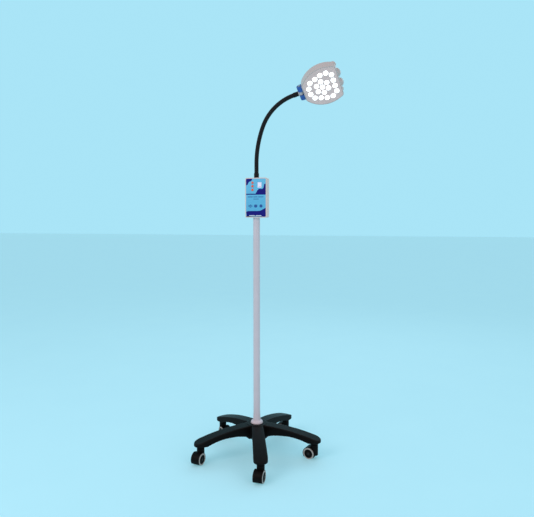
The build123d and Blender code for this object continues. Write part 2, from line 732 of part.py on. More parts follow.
def knuckle():
    """Round knuckle that the yoke turns on, with the tongue into the ferrule."""
    body = along_y(KNUCKLE_R, -KNUCKLE_HALF, KNUCKLE_HALF)
    body += block((FERRULE_LENGTH - HINGE_REACH, -KNUCKLE_HALF, -6.5), (0, KNUCKLE_HALF, 6.5))
    return body - along_y(PIN_R + RUNNING_GAP, -KNUCKLE_HALF - 1, KNUCKLE_HALF + 1)


# ------------------------------------------------------------------ write every node
def make_base():
    """Write the base, the column and the foot's fasteners."""
    save("star_base", star_base())
    save("hub_cover", hub_cover())
    save("column_tube", column_tube())
    save("column_foot_bolt", foot_bolt())
    save("column_foot_washer", foot_washer())
    save("column_top_plug", column_top_plug())


def make_box():
    """Write the control box and what it holds."""
    save("box_back_shell", back_shell())
    save("box_front_panel", front_panel())
    save("label_overlay", label_overlay())
    save("indicator_lamps", Compound(children=indicator_lamps()))
    save("switch_frame", switch_frame())
    save("switch_rocker", switch_rocker())
    save("battery_pack", battery_pack())
    save("control_board", control_board())
    save("box_screws", Compound(children=box_screws()))
    save("column_clamps", Compound(children=column_clamps()))
    save("cord_gland", cord_gland())
    save("gland_nut", gland_nut())


def make_gooseneck():
    """Write the gooseneck's collar, links and end."""
    save("gooseneck_collar", gooseneck_collar())
    for k in range(PIVOTS - 1):
        save(f"gooseneck_link_{k + 1}", link(PIVOT_STEP * (k + 0.5), PIVOT_STEP * (k + 1.5)))
    save("gooseneck_end", neck_end())


def make_head():
    """Write the head and its hinge, moved from the head's own frame to the object's."""
    place = head_plane().location
    save("hinge_knuckle", place * knuckle())
    save("head_yoke", place * yoke())
    save("hinge_pin", place * hinge_pin())
    save("head_rear_shell", place * rear_shell())
    save("head_front_plate", place * front_plate())
    save("lenses", Compound(children=[place * lens(x, y) for x, y in lens_places()]))
    save("reflectors", Compound(children=[place * reflector(x, y) for x, y in lens_places()]))
    save("led_board", place * led_board())
    save("led_chips", Compound(children=[place * led_chip(x, y) for x, y in lens_places()]))
    save("heat_sink", place * heat_sink())
    save("head_gasket", place * gasket())
    save("head_screws", Compound(children=[place * screw for screw in head_screws()]))


make_base()
make_casters()
make_box()
make_gooseneck()
make_head()
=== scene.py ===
import json
import math

import bmesh
import bpy
from mathutils import Matrix, Vector
from mathutils.geometry import convex_hull_2d


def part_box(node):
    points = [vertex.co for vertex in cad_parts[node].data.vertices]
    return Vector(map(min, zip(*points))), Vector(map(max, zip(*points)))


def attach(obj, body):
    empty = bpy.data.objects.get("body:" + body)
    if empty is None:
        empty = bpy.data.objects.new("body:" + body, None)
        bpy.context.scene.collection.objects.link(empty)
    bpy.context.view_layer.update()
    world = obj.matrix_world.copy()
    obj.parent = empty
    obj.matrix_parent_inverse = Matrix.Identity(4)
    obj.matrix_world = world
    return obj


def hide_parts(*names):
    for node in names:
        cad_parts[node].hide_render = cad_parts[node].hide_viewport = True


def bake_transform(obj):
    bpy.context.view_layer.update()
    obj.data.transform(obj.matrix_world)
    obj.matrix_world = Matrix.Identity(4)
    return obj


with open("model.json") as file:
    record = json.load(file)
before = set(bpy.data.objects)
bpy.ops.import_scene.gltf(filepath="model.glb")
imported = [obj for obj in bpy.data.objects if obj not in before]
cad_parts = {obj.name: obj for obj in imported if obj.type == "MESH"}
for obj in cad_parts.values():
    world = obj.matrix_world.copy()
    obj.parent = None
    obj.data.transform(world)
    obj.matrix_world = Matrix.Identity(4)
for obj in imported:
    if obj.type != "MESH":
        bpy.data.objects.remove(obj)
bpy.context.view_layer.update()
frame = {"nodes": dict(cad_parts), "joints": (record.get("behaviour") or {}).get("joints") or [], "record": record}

MM = 0.001
JOINTS = {j["name"]: j for j in frame["joints"]}
CASTERS = range(1, 6)


# ------------------------------------------------------------------ places read from the frame
def pivot(joint):
    """A joint's place at rest."""
    return Vector(JOINTS[joint]["pos_m"])


def direction(joint):
    """A joint's axis at rest."""
    return Vector(JOINTS[joint]["axis"]).normalized()


def basis(origin, x_dir, z_dir):
    """Matrix of a local frame with the given origin, X and Z directions."""
    z = Vector(z_dir).normalized()
    x = (Vector(x_dir) - z * Vector(x_dir).dot(z)).normalized()
    y = z.cross(x)
    matrix = Matrix((x, y, z)).transposed().to_4x4()
    matrix.translation = Vector(origin)
    return matrix


# ------------------------------------------------------------------ materials
class Nodes:
    """A small builder for one material's node tree."""

    def __init__(self, name):
        self.material = bpy.data.materials.new(name)
        self.material.use_nodes = True
        self.tree = self.material.node_tree
        self.shader = self.tree.nodes["Principled BSDF"]
        self.object_space = self.add("ShaderNodeTexCoord").outputs["Object"]

    def add(self, kind, **values):
        node = self.tree.nodes.new(kind)
        for key, value in values.items():
            setattr(node, key, value)
        return node

    def link(self, source, target):
        self.tree.links.new(source, target)

    def noise(self, size, detail=3.0, stretch=(1, 1, 1)):
        """Noise whose features are about size metres across."""
        mapping = self.add("ShaderNodeMapping")
        mapping.inputs["Scale"].default_value = [1 / (size * s) for s in stretch]
        self.link(self.object_space, mapping.inputs["Vector"])
        node = self.add("ShaderNodeTexNoise")
        node.inputs["Scale"].default_value = 1.0
        node.inputs["Detail"].default_value = detail
        self.link(mapping.outputs["Vector"], node.inputs["Vector"])
        return node.outputs["Fac"]

    def ramp(self, source, low, high, start=0.3, end=0.7):
        """Source carried from one colour to another."""
        node = self.add("ShaderNodeValToRGB")
        node.color_ramp.elements[0].position = start
        node.color_ramp.elements[0].color = (*low, 1)
        node.color_ramp.elements[1].position = end
        node.color_ramp.elements[1].color = (*high, 1)
        self.link(source, node.inputs["Fac"])
        return node.outputs["Color"]

    def span(self, source, low, high):
        """Source carried from 0..1 to a range of numbers."""
        node = self.add("ShaderNodeMapRange")
        node.inputs["To Min"].default_value = low
        node.inputs["To Max"].default_value = high
        self.link(source, node.inputs["Value"])
        return node.outputs["Result"]

    def bump(self, source, height, strength=1.0):
        node = self.add("ShaderNodeBump")
        node.inputs["Distance"].default_value = height
        node.inputs["Strength"].default_value = strength
        self.link(source, node.inputs["Height"])
        self.link(node.outputs["Normal"], self.shader.inputs["Normal"])

    def set(self, **values):
        for key, value in values.items():
            socket = self.shader.inputs[key.replace("_", " ")]
            socket.default_value = (*value, 1) if isinstance(value, tuple) and len(value) == 3 else value


def shade(colour, factor):
    """A colour made lighter or darker."""
    return tuple(min(1.0, c * factor) for c in colour)


def moulded(name, colour, rough=0.45, grain=0.9 * MM, depth=0.02 * MM, mottle=0.05, edge=None, shine=0.5):
    """Moulded plastic or paint: fine grain, faint mottling, uneven gloss and, where asked, a painted highlight
    that makes convex edges paler.
    """
    n = Nodes(name)
    patches = n.noise(45 * MM)
    tint = n.ramp(patches, shade(colour, 1 - mottle), shade(colour, 1 + mottle))
    if edge:
        # painted highlight: convex edges, found by pointiness, are mixed toward the paler edge colour
        pointed = n.add("ShaderNodeNewGeometry").outputs["Pointiness"]
        edge_highlight_mask = n.ramp(pointed, (0, 0, 0), (1, 1, 1), 0.505, 0.56)
        mix = n.add("ShaderNodeMix", data_type="RGBA")
        mix.inputs["B"].default_value = (*edge, 1)
        n.link(edge_highlight_mask, mix.inputs["Factor"])
        n.link(tint, mix.inputs["A"])
        tint = mix.outputs["Result"]
    n.link(tint, n.shader.inputs["Base Color"])
    n.link(n.span(n.noise(12 * MM), rough - 0.06, rough + 0.06), n.shader.inputs["Roughness"])
    n.bump(n.noise(grain), depth)
    n.set(Specular_IOR_Level=shine)
    return n.material


def metal(name, colour, rough=0.32, stretch=(1, 1, 12)):
    """Bare metal with faint drawn lines."""
    n = Nodes(name)
    lines = n.noise(0.5 * MM, stretch=stretch)
    n.link(n.ramp(lines, shade(colour, 0.88), shade(colour, 1.08)), n.shader.inputs["Base Color"])
    n.link(n.span(lines, rough - 0.08, rough + 0.1), n.shader.inputs["Roughness"])
    n.bump(lines, 0.01 * MM)
    n.set(Metallic=1.0)
    return n.material


def rubber(name, colour):
    """Matt tyre rubber with scuffs."""
    n = Nodes(name)
    scuffs = n.noise(6 * MM, detail=6)
    n.link(n.ramp(scuffs, shade(colour, 0.86), shade(colour, 1.08)), n.shader.inputs["Base Color"])
    n.link(n.span(scuffs, 0.62, 0.8), n.shader.inputs["Roughness"])
    n.bump(n.noise(0.6 * MM), 0.03 * MM)
    return n.material


def printed_film(name, low, high, bottom, top):
    """Glossy printed film whose ink turns from one tint to another up the sheet."""
    n = Nodes(name)
    split = n.add("ShaderNodeSeparateXYZ")
    n.link(n.object_space, split.inputs["Vector"])
    rise = n.add("ShaderNodeMapRange")
    rise.inputs["From Min"].default_value = bottom
    rise.inputs["From Max"].default_value = top
    n.link(split.outputs["Z"], rise.inputs["Value"])
    n.link(n.ramp(rise.outputs["Result"], low, high, 0.0, 1.0), n.shader.inputs["Base Color"])
    n.link(n.span(n.noise(3 * MM), 0.24, 0.32), n.shader.inputs["Roughness"])
    n.bump(n.noise(0.4 * MM), 0.004 * MM)
    return n.material


def glowing_dome(name, colour, strength):
    """Clear dome that glows, its colour and glow varying a little in patches."""
    n = Nodes(name)
    glow = n.noise(2.2 * MM, detail=1)
    n.link(n.ramp(glow, shade(colour, 0.985), colour), n.shader.inputs["Base Color"])
    n.link(n.ramp(glow, shade(colour, 0.97), colour), n.shader.inputs["Emission Color"])
    n.link(n.span(n.noise(8 * MM), 0.1, 0.16), n.shader.inputs["Roughness"])
    n.set(Emission_Strength=strength)
    return n.material


def red_lamp(name):
    """Small red lens, its red varying in patches, with a faint red glow."""
    n = Nodes(name)
    patches = n.noise(2.5 * MM)
    n.link(n.ramp(patches, (0.56, 0.085, 0.05), (0.70, 0.14, 0.08)), n.shader.inputs["Base Color"])
    n.link(n.span(patches, 0.16, 0.26), n.shader.inputs["Roughness"])
    n.set(Emission_Color=(0.75, 0.12, 0.06), Emission_Strength=0.12)
    return n.material


BLACK = (0.0030, 0.0019, 0.0016)
# painted highlight for the black nylon's convex edges
NYLON_EDGE_HIGHLIGHT = (0.012, 0.010, 0.010)
HOSE_BLACK = (0.0085, 0.0075, 0.0085)
YOKE_BLUE = (0.018, 0.085, 0.34)
# painted highlight for the blue yoke's convex edges
YOKE_EDGE_HIGHLIGHT = (0.05, 0.15, 0.45)
FILM_LOW = (0.085, 0.43, 0.68)
FILM_HIGH = (0.13, 0.50, 0.74)
# painted light: the column and head shell colours are tinted warm to offset the floor's blue light; the real
# paints are near neutral grey
COLUMN_WARM_PAINTED_LIGHT = (0.63, 0.54, 0.58)
SHELL_WARM_PAINTED_LIGHT = (0.56, 0.465, 0.44)
# painted light: a lighter, pinker copy of the head plastic for the face plate, tinted warm to offset the floor's
# blue light there; the real plastic is near neutral
FACE_WARM_PAINTED_LIGHT = (0.80, 0.53, 0.49)
box_low, box_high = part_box("label_overlay")

LOOKS = {
    "black_nylon": moulded("black_nylon", BLACK, 0.46, 0.8 * MM, 0.03 * MM, 0.12, NYLON_EDGE_HIGHLIGHT, 0.08),
    "tyre_grey": rubber("tyre_grey", (0.42, 0.385, 0.36)),
    "column_paint": moulded("column_paint", COLUMN_WARM_PAINTED_LIGHT, 0.36, 1.6 * MM, 0.012 * MM, 0.025),
    # painted light: the box plastic is tinted warm to offset the floor's blue light; the real plastic is near
    # neutral
    "box_plastic": moulded("box_plastic", (0.76, 0.585, 0.54), 0.46, 0.7 * MM, 0.02 * MM, 0.03, None, 0.3),
    "label_print": printed_film("label_print", FILM_LOW, FILM_HIGH, box_low.z, box_high.z),
    "lamp_red": red_lamp("lamp_red"),
    # painted light: the white rocker switch is given a faint glow, though it is no lamp
    "switch_white": glowing_dome("switch_white", (0.80, 0.76, 0.90), 0.13),
    "battery_case": moulded("battery_case", (0.03, 0.04, 0.07), 0.3, 5 * MM, 0.1 * MM),
    "circuit": moulded("circuit", (0.02, 0.16, 0.06), 0.3, 3 * MM, 0.02 * MM, 0.2),
    "steel": metal("steel", (0.50, 0.50, 0.50)),
    "aluminium": metal("aluminium", (0.66, 0.67, 0.68), 0.38),
    "gooseneck_black": moulded("gooseneck_black", HOSE_BLACK, 0.36, 0.5 * MM, 0.01 * MM, 0.1, None, 0.12),
    "knuckle_grey": moulded("knuckle_grey", (0.58, 0.46, 0.45), 0.40, 0.8 * MM, 0.012 * MM, 0.05),
    "yoke_blue": moulded("yoke_blue", YOKE_BLUE, 0.34, 0.8 * MM, 0.015 * MM, 0.07, YOKE_EDGE_HIGHLIGHT),
    "head_plastic": moulded("head_plastic", SHELL_WARM_PAINTED_LIGHT, 0.40, 0.75 * MM, 0.02 * MM, 0.03),
    "face_plastic_lit_copy": moulded("face_plastic_lit_copy", FACE_WARM_PAINTED_LIGHT, 0.44, 0.75 * MM, 0.02 * MM, 0.03, None, 0.3),
    "lens_white": glowing_dome("lens_white", (1.0, 1.0, 1.0), 1.6),
    "reflector": metal("reflector", (0.85, 0.85, 0.85), 0.16),
    "led_yellow": moulded("led_yellow", (0.8, 0.62, 0.1), 0.3, 1 * MM, 0.01 * MM),
    "gasket_rubber": rubber("gasket_rubber", (0.03, 0.03, 0.03)),
    "navy_ink": moulded("navy_ink", (0.0085, 0.009, 0.185), 0.32, 0.4 * MM, 0.003 * MM, 0.06, None, 0.12),
    "faded_ink": moulded("faded_ink", (0.035, 0.13, 0.34), 0.32, 0.4 * MM, 0.003 * MM, 0.06, None, 0.2),
    "film_blue": moulded("film_blue", (0.11, 0.46, 0.70), 0.3, 0.4 * MM, 0.004 * MM, 0.03, None, 0.3),
    "white_ink": moulded("white_ink", (0.72, 0.80, 0.88), 0.28, 0.4 * MM, 0.003 * MM, 0.02),
    "cap_grey": moulded("cap_grey", (0.012, 0.012, 0.014), 0.34, 0.6 * MM, 0.01 * MM, 0.1, None, 0.2),
}
for part in frame["record"]["subparts"]:
    node = frame["nodes"][part["node"]]
    node.data.materials.clear()
    # painted light: the face plate takes the lit, warmer copy of the head plastic
    look = "face_plastic_lit_copy" if part["node"] == "head_front_plate" else part["material_slot"]
    node.data.materials.append(LOOKS[look])


# ------------------------------------------------------------------ mesh helpers
def piece(name, bm, body, slot, replaces=(), look=None, flat=False):
    """Turn a bmesh into an object that rides on a body."""
    bmesh.ops.recalc_face_normals(bm, faces=bm.faces)
    mesh = bpy.data.meshes.new(name)
    bm.to_mesh(mesh)
    bm.free()
    obj = bpy.data.objects.new(name, mesh)
    bpy.context.scene.collection.objects.link(obj)
    finish_piece(obj, body, slot, replaces, look, flat)
    return obj


def finish_piece(obj, body, slot, replaces=(), look=None, flat=False):
    """Material (the slot's look, or a given look), shading, body and replaced nodes of a new object."""
    obj.data.materials.clear()
    obj.data.materials.append(LOOKS[look or slot])
    if not flat:
        obj.data.polygons.foreach_set("use_smooth", [True] * len(obj.data.polygons))
        obj.data.set_sharp_from_angle(angle=math.radians(38))
    if body:
        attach(obj, body)
    if replaces:
        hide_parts(*replaces)


def ring_of(bm, place, radius, height, segments):
    """Vertices on a circle about the local Z axis."""
    turns = [2 * math.pi * k / segments for k in range(segments)]
    spots = [Vector((radius * math.cos(t), radius * math.sin(t), height)) for t in turns]
    return [bm.verts.new(place @ spot) for spot in spots]


def lathe(bm, profile, place=Matrix.Identity(4), segments=64, closed=True):
    """Turn a (radius, height) profile round the local Z axis."""
    rings = []
    for radius, height in profile:
        if radius < 1e-7:
            rings.append([bm.verts.new(place @ Vector((0, 0, height)))])
            continue
        rings.append(ring_of(bm, place, radius, height, segments))
    pairs = list(zip(rings, rings[1:]))
    if closed:
        pairs.append((rings[-1], rings[0]))
    for a, b in pairs:
        if len(a) == 1 and len(b) == 1:
            continue
        for k in range(segments):
            m = (k + 1) % segments
            corners = [a[k % len(a)], a[m % len(a)], b[m % len(b)], b[k % len(b)]]
            bm.faces.new(list(dict.fromkeys(corners)))


def rounded(points, radius, steps=4):
    """A closed outline with its corners rounded; a corner's own radius is its third number."""
    out = []
    count = len(points)
    for k in range(count):
        here = Vector(points[k][:2])
        back = Vector(points[k - 1][:2]) - here
        ahead = Vector(points[(k + 1) % count][:2]) - here
        size = points[k][2] if len(points[k]) > 2 else radius
        angle = back.angle(ahead)
        if size <= 0 or angle > math.radians(178):
            out.append(tuple(here))
            continue
        reach = min(size / math.tan(angle / 2), 0.49 * back.length, 0.49 * ahead.length)
        arc = reach * math.tan(angle / 2)
        centre = here + (back.normalized() + ahead.normalized()).normalized() * arc / math.sin(angle / 2)
        start = here + back.normalized() * reach - centre
        end = here + ahead.normalized() * reach - centre
        turn = -start.angle_signed(end)
        for s in range(steps + 1):
            out.append(tuple(centre + Matrix.Rotation(turn * s / steps, 2) @ start))
    return out


def shrunk(outline, inset):
    """An outline moved in by inset along its corner normals."""
    area = sum(a[0] * b[1] - b[0] * a[1] for a, b in zip(outline, outline[1:] + outline[:1]))
    sense = 1 if area > 0 else -1
    moved = []
    for k, here in enumerate(outline):
        back = (Vector(here) - Vector(outline[k - 1])).normalized()
        ahead = (Vector(outline[(k + 1) % len(outline)]) - Vector(here)).normalized()
        along = (back + ahead).normalized()
        inward = Vector((-along.y, along.x)) * sense
        scale = 1 / max(0.3, math.cos(back.angle(ahead, 0) / 2))
        moved.append((here[0] + inward.x * inset * scale, here[1] + inward.y * inset * scale))
    return moved


def rectangle(width, height, corner, cx=0.0, cy=0.0, steps=5):
    """A rounded rectangle about a centre."""
    w, h = width / 2, height / 2
    return rounded([(cx - w, cy - h), (cx + w, cy - h), (cx + w, cy + h), (cx - w, cy + h)], corner, steps)


def settle(obj):
    """Apply an object's modifiers."""
    bpy.context.view_layer.update()
    graph = bpy.context.evaluated_depsgraph_get()
    mesh = bpy.data.meshes.new_from_object(obj.evaluated_get(graph))
    obj.modifiers.clear()
    obj.data = mesh


def soften(nodes, name, body, slot, voxel, rounds, share, look=None, extra=None):
    """A moulded copy of CAD nodes: their edges rounded by remeshing and smoothing."""
    bm = extra or bmesh.new()
    for node in nodes:
        bm.from_mesh(frame["nodes"][node].data)
    mesh = bpy.data.meshes.new(name)
    bm.to_mesh(mesh)
    bm.free()
    obj = bpy.data.objects.new(name, mesh)
    bpy.context.scene.collection.objects.link(obj)
    remesh = obj.modifiers.new("remesh", "REMESH")
    remesh.mode = "VOXEL"
    remesh.voxel_size = voxel
    smooth = obj.modifiers.new("smooth", "SMOOTH")
    smooth.factor = 0.5
    smooth.iterations = rounds
    if share < 1:
        thin = obj.modifiers.new("thin", "DECIMATE")
        thin.ratio = share
    settle(obj)
    finish_piece(obj, body, slot, nodes, look)
    obj.data.set_sharp_from_angle(angle=math.radians(60))
    return obj


# ------------------------------------------------------------------ base
def make_star():
    """The star base's moulding, its edges rounded."""
    soften(["star_base"], "star_base_moulding", "stand", "black_nylon", 2.0 * MM, 8, 0.4)


def make_hub_flange():
    """Domed flange at the column's foot, with its tapered sleeve."""
    low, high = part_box("hub_cover")
    outer = (high.x - low.x) / 2
    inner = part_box("column_tube")[1].x + 0.05 * MM
    edge = low.z + 2.4 * MM
    waist = inner + 2.2 * MM
    profile = [(inner, low.z), (outer - 0.4 * MM, low.z), (outer, low.z + 0.5 * MM)]
    steps = 14
    for k in range(steps + 1):
        turn = math.pi / 2 * k / steps
        radius = waist + (outer - waist) * math.cos(turn)
        profile.append((radius, edge + 10 * MM * math.sin(turn)))
    for k in range(1, 9):
        share = k / 8
        radius = waist + (inner + 0.5 * MM - waist) * share ** 0.6
        profile.append((radius, edge + 10 * MM + (high.z - edge - 10 * MM) * share))
    profile.append((inner, high.z))
    bm = bmesh.new()
    lathe(bm, profile, segments=96)
    piece("hub_flange", bm, "stand", "column_paint", ["hub_cover"])


def make_column():
    """Painted steel tube."""
    low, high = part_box("column_tube")
    outer = high.x
    inner = outer - 1.5 * MM
    bm = bmesh.new()
    profile = [(inner, low.z), (outer, low.z)]
    for k in range(1, 12):
        profile.append((outer, low.z + (high.z - low.z) * k / 12))
    profile += [(outer, high.z), (inner, high.z)]
    lathe(bm, profile, segments=96)
    piece("column", bm, "stand", "column_paint", ["column_tube"])


def make_caster(k):
    """One twin-wheel caster: hooded housing, dished wheel cores and rounded tyres."""
    soften([f"caster_housing_{k}"], f"caster_hood_{k}", f"caster_{k}", "black_nylon", 0.9 * MM, 4, 0.3)
    centre = pivot(f"wheel_roll_{k}")
    axis = direction(f"wheel_roll_{k}")
    body = f"wheels_{k}"
    tyre_r, core_r, inside, outside = 25 * MM, 19.5 * MM, 4.5 * MM, 21.5 * MM
    tread = 2.2 * MM
    tyre = rounded(
        [(core_r, inside, 0), (tyre_r, inside, tread), (tyre_r, outside, tread), (core_r, outside, 0.8 * MM)], 0)
    core = [
        (3 * MM, inside), (core_r, inside), (core_r, outside - 1.4 * MM),
        (core_r - 0.5 * MM, outside - 0.9 * MM),
        (core_r - 1.6 * MM, outside - 0.9 * MM), (core_r - 2.4 * MM, outside - 2.2 * MM),
        (12 * MM, outside - 2.8 * MM), (9.0 * MM, outside - 2.4 * MM), (8.2 * MM, outside - 1.0 * MM),
        (7.2 * MM, outside - 0.5 * MM), (3 * MM, outside - 0.3 * MM),
    ]
    cap = [
        (0, outside - 3 * MM), (4.6 * MM, outside - 3 * MM), (4.6 * MM, outside - 0.4 * MM),
        (3.6 * MM, outside + 0.1 * MM), (0, outside + 0.3 * MM),
    ]
    tyres, cores, caps = bmesh.new(), bmesh.new(), bmesh.new()
    for side in (1, -1):
        place = basis(centre, (0, 0, 1), axis * side)
        lathe(tyres, tyre, place, 64)
        lathe(cores, core, place, 64)
        lathe(caps, cap, place, 32, closed=False)
    piece(f"caster_tyre_rings_{k}", tyres, body, "tyre_grey", [f"caster_tyres_{k}"])
    piece(f"caster_wheel_cores_{k}", cores, body, "black_nylon", [f"caster_wheels_{k}"])
    piece(f"caster_axle_caps_{k}", caps, body, "black_nylon", look="cap_grey")


# ------------------------------------------------------------------ control box
def print_on_label(name, outline, look, layer):
    """Flat ink on the label; outline points are (across, up) from the label's centre, in millimetres."""
    low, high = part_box("label_overlay")
    centre = (low + high) / 2
    depth = low.y - layer * 0.04 * MM
    bm = bmesh.new()
    face = bm.faces.new([bm.verts.new((centre.x + x * MM, depth, centre.z + z * MM)) for x, z in outline])
    face.normal_update()
    if face.normal.y > 0:
        face.normal_flip()
    bmesh.ops.triangulate(bm, faces=bm.faces)
    piece(name, bm, "stand", "label_print", look=look, flat=True)


def bar(x0, x1, z, height):
    """A round-ended stroke."""
    return rectangle(x1 - x0, height, height / 2, (x0 + x1) / 2, z, 3)


def oval(x, z, half_width, half_height, count=32):
    """An ellipse."""
    turns = [2 * math.pi * k / count for k in range(count)]
    return [(x + half_width * math.cos(t), z + half_height * math.sin(t)) for t in turns]


def curve_through(points, steps=8):
    """A smooth line through points, by Catmull-Rom."""
    ends = [points[0]] + list(points) + [points[-1]]
    out = []
    for a, b, c, d in zip(ends, ends[1:], ends[2:], ends[3:]):
        for s in range(steps):
            t = s / steps
            point = []
            for p, q, r, e in zip(a, b, c, d):
                bend, twist = 2 * p - 5 * q + 4 * r - e, 3 * q - p - 3 * r + e
                point.append(0.5 * (2 * q + (r - p) * t + bend * t * t + twist * t ** 3))
            out.append(tuple(point))
    out.append(tuple(points[-1]))
    return out


def make_label():
    """Printed face label: pale blue sheet, navy waves, divider and generic marks."""
    low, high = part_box("label_overlay")
    w, h = (high.x - low.x) / 2 / MM, (high.z - low.z) / 2 / MM
    corner = 3.4
    turns = (0, 0.5, 1.0, math.pi / 2)
    divider, half = 15.2, 2.2
    sweep = curve_through([(-w, h - 28), (-37.3, h - 26), (-31.4, h - 15), (-19.4, h - 8.6), (-16.4, h)])
    arc = [(-w + corner * (1 - math.sin(t)), h - corner * (1 - math.cos(t))) for t in turns]
    print_on_label("label_corner_wave", sweep + arc, "navy_ink", 1)
    top = divider + half
    rise = [(-1.5, top), (9, 34), (16.4, 38.4), (28.4, 37.9), (34.3, 44.2), (37.3, 57.3), (w, 60.2)]
    print_on_label("label_side_wave", curve_through(rise) + [(w, top)], "navy_ink", 1)
    strip = [(-w, divider - half), (w, divider - half), (w, divider + half), (-w, divider + half)]
    print_on_label("label_divider", strip, "navy_ink", 2)
    crest = [(-w, -62), (-35.8, -57.6), (-9, -57), (17.9, -56.2), (32.9, -48.9), (w, -43)]
    foot = [(w - corner * (1 - math.cos(t)), -h + corner * (1 - math.sin(t))) for t in turns]
    toe = [(-w + corner * (1 - math.sin(t)), -h + corner * (1 - math.cos(t))) for t in turns]
    print_on_label("label_foot_wave", curve_through(crest) + foot + toe[::-1], "navy_ink", 1)
    for k, (x0, x1) in enumerate(((-36, -14), (-12, 8), (10, 34))):
        print_on_label(f"label_heading_bar_{k + 1}", bar(x0, x1, 3.5, 3.2), "faded_ink", 1)
    print_on_label("label_caption_bar", bar(-12, 13, -5.8, 2.6), "faded_ink", 1)
    marks = -35.8
    diamond = [(-24.6 + x, marks + z) for x, z in ((11, 0), (0, 7), (-11, 0), (0, -7))]
    print_on_label("label_mark_1", diamond, "faded_ink", 1)
    print_on_label("label_mark_1_stroke", bar(-31.5, -18, marks, 2.4), "film_blue", 2)
    print_on_label("label_mark_2", oval(-0.7, marks, 8, 7), "faded_ink", 1)
    print_on_label("label_mark_2_stroke", bar(-4.5, 3.1, marks, 2.0), "navy_ink", 2)
    print_on_label("label_mark_3", oval(23, marks, 7, 7), "faded_ink", 1)
    print_on_label("label_mark_3_dot", oval(23, marks, 2.6, 2.6), "navy_ink", 2)
    for k, (x0, x1) in enumerate(((-30, -4), (-1, 25))):
        print_on_label(f"label_foot_bar_{k + 1}", bar(x0, x1, -77.0, 2.8), "white_ink", 2)


def make_lamps():
    """Three red indicator lenses with a stepped rim."""
    low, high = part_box("indicator_lamps")
    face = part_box("label_overlay")[0].y
    x = (low.x + high.x) / 2
    radius = (high.x - low.x) / 2
    gap = (high.z - low.z - 2 * radius) / 2
    bm = bmesh.new()
    for k in range(3):
        place = basis((x, face, low.z + radius + gap * k), (1, 0, 0), (0, -1, 0))
        profile = [
            (0, -3 * MM), (4 * MM, -3 * MM), (4 * MM, 0), (radius, 0), (radius, 0.5 * MM),
            (radius - 0.5 * MM, 1.0 * MM),
        ]
        for s in range(9):
            turn = math.pi / 2 * s / 8
            profile.append((4.6 * MM * math.cos(turn), 1.0 * MM + 1.3 * MM * math.sin(turn)))
        lathe(bm, profile, place, 40, closed=False)
    piece("indicator_lenses", bm, "stand", "lamp_red", ["indicator_lamps"])


# ------------------------------------------------------------------ gooseneck
def neck_line():
    """The gooseneck's centreline at rest, as a function from millimetres along it to (point, tangent)."""
    runs = ((39.2, None), (162.0, 450.0), (190.1, 207.9))
    length = sum(run[0] for run in runs)
    start = Vector((0, 0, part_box("box_back_shell")[1].z + 22 * MM))

    def at(s):
        x, z, heading = start.x, start.z, math.pi / 2
        for run, radius in runs:
            step = min(s, run)
            if radius is None:
                z += step * MM
            else:
                turned = heading - step / radius
                x += radius * (math.sin(heading) - math.sin(turned)) * MM
                z += radius * (math.cos(turned) - math.cos(heading)) * MM
                heading = turned
            s -= step
        x += s * math.cos(heading) * MM
        z += s * math.sin(heading) * MM
        return Vector((x, 0, z)), Vector((math.cos(heading), 0, math.sin(heading)))

    return at, length


def make_gooseneck():
    """Ribbed black hose in eight sleeves, one across each pivot, between the collar and the ferrule."""
    at, length = neck_line()
    order = ["gooseneck_side_2", "gooseneck_bend_2", "gooseneck_side", "gooseneck_bend_3"]
    order += ["gooseneck_side_3", "gooseneck_bend", "gooseneck_side_4", "gooseneck_bend_4"]
    step = length / len(order)
    ribs = 16
    per_rib = 6
    segments = 40
    for k, joint in enumerate(order):
        bm = bmesh.new()
        rings = []
        count = ribs * per_rib
        for j in range(count + 1):
            s = step * (k + j / count)
            point, tangent = at(s)
            wave = 0.5 - 0.5 * math.cos(2 * math.pi * j / per_rib)
            radius = (8.9 + 0.4 * wave ** 0.6) * MM
            place = basis(point, (0, 1, 0), tangent)
            rings.append(ring_of(bm, place, radius, 0, segments))
        for a, b in zip(rings, rings[1:]):
            for m in range(segments):
                n = (m + 1) % segments
                bm.faces.new((a[m], a[n], b[n], b[m]))
        bm.faces.new(list(reversed(rings[0])))
        bm.faces.new(rings[-1])
        hidden = [f"gooseneck_link_{k + 1}"] if k < 7 else ["gooseneck_end"]
        sleeve = piece(f"gooseneck_hose_{k + 1}", bm, None, "gooseneck_black", hidden)
        start = at(step * (k + 0.06))[0]
        end = at(step * (k + 0.94))[0]
        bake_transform(sleeve)


def make_collar():
    """Screwed collar on the box's top: round foot, a groove, plain barrel and a chamfered lip."""
    at, _ = neck_line()
    top = at(0)[0].z
    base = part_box("box_back_shell")[1].z
    outer, groove = 11.0 * MM, 10.2 * MM
    profile = rounded(
        [(0, base - 20 * MM, 0), (8 * MM, base - 20 * MM, 0), (8 * MM, base, 0), (outer, base, 0.4 * MM),
         (outer, base + 5 * MM, 0.4 * MM), (groove, base + 5.6 * MM, 0.2 * MM),
         (groove, base + 7 * MM, 0.2 * MM),
         (outer, base + 7.6 * MM, 0.4 * MM), (outer, top - 2.0 * MM, 1.2 * MM), (9.4 * MM, top, 0.4 * MM),
         (0, top, 0)], 0)
    bm = bmesh.new()
    lathe(bm, profile, segments=64, closed=False)
    piece("gooseneck_base_collar", bm, "stand", "gooseneck_black", ["gooseneck_collar"])


